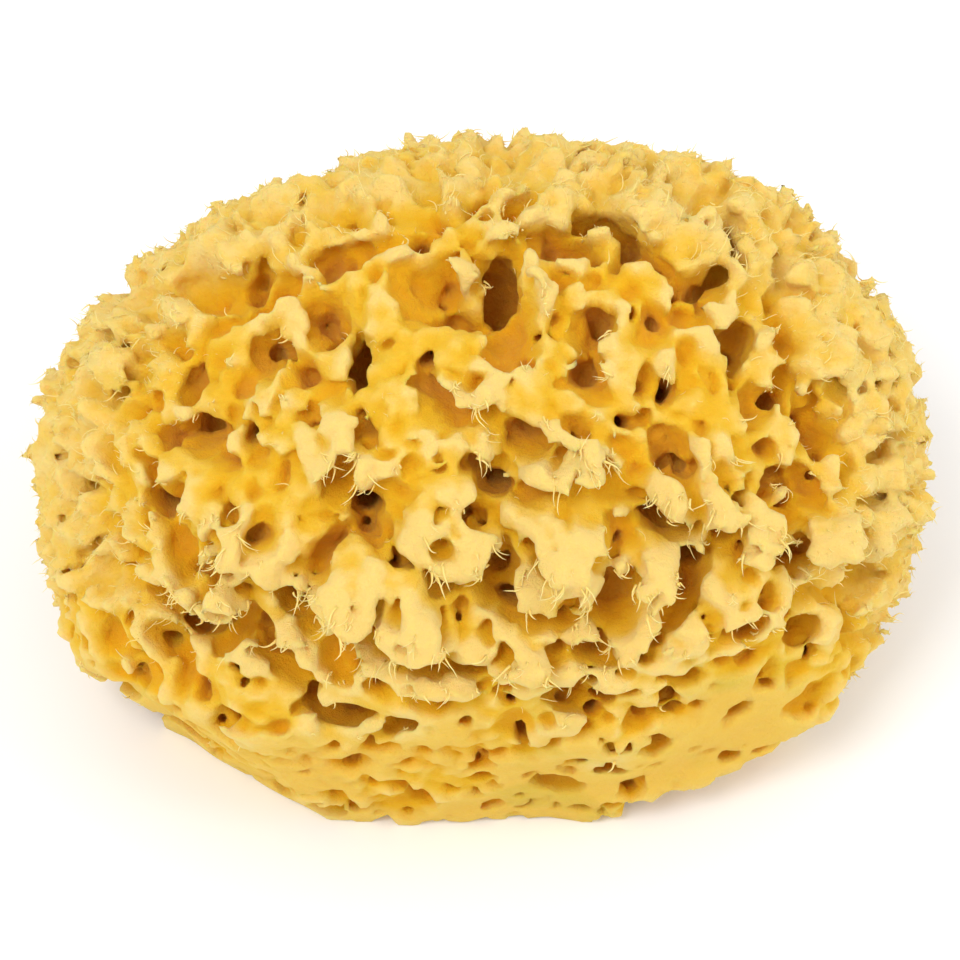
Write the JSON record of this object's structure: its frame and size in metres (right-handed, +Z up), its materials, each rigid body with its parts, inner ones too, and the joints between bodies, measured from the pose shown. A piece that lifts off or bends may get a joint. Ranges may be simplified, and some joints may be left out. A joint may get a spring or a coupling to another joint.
{
  "type": "sea sponge",
  "caption": "Natural honeycomb sea sponge, an oval domed body full of pores and ragged lobes, trimmed flat underneath to rest on a surface.",
  "frame": {"origin": "middle of the outer box in plan, at the height of the flat cut that the sponge rests on", "axes": "+X along the sponge's long way, -Y towards the side that the bushy show face looks to, +Z up from the cut"},
  "size_m": [0.1488, 0.1066, 0.0871],
  "materials": {
    "sponge_skeleton": "soft matt fibrous skeleton, golden yellow, darker in the pores"
  },
  "bodies": {
    "root": {"sponge": "sponge_skeleton"}
  },
  "joints": []
}
